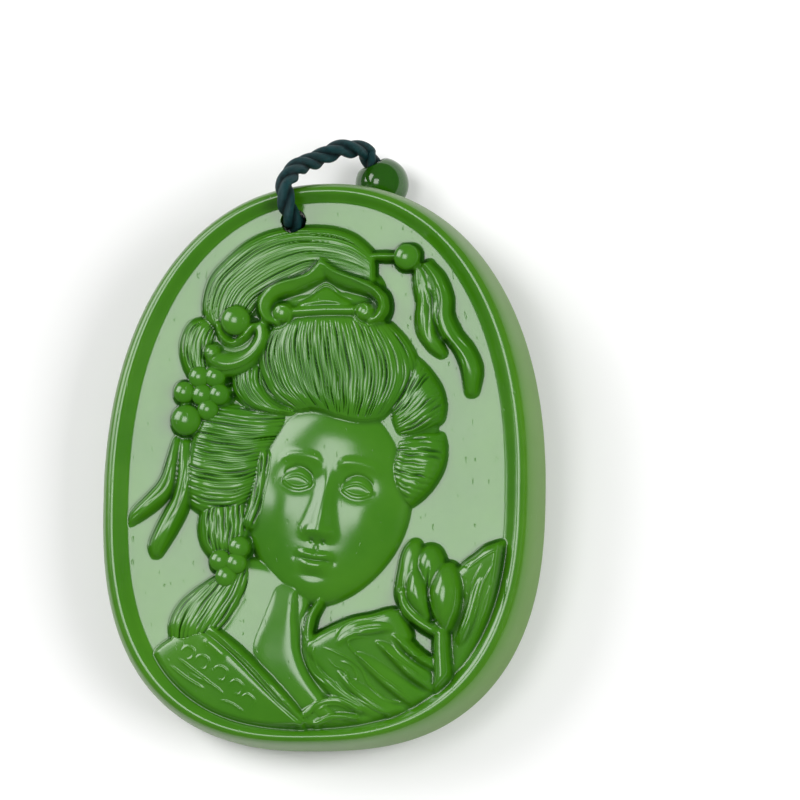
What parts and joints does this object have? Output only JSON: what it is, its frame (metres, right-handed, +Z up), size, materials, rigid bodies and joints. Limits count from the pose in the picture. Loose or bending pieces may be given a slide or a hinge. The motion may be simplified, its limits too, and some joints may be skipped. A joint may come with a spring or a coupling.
{
  "type": "jade pendant",
  "caption": "Egg-shaped jade pendant carved in relief with a lady's head, hair ornaments and a lotus, with its corded bead.",
  "frame": {"origin": "on the surface the pendant lies on, below the middle of the plate", "axes": "+Y towards the plate's head end, +Z up out of the carved side, +X to the viewer's right"},
  "size_m": [0.0472, 0.0655, 0.0155],
  "materials": {
    "jade": "polished",
    "bead": "polished",
    "cord": "twisted",
    "neck_cord": "waxed"
  },
  "bodies": {
    "root": {"jade_plate": "jade", "jade_bead": "bead", "hanging_cord": "cord", "neck_cord": "neck_cord", "neck_cord_coil": "neck_cord"}
  },
  "joints": []
}
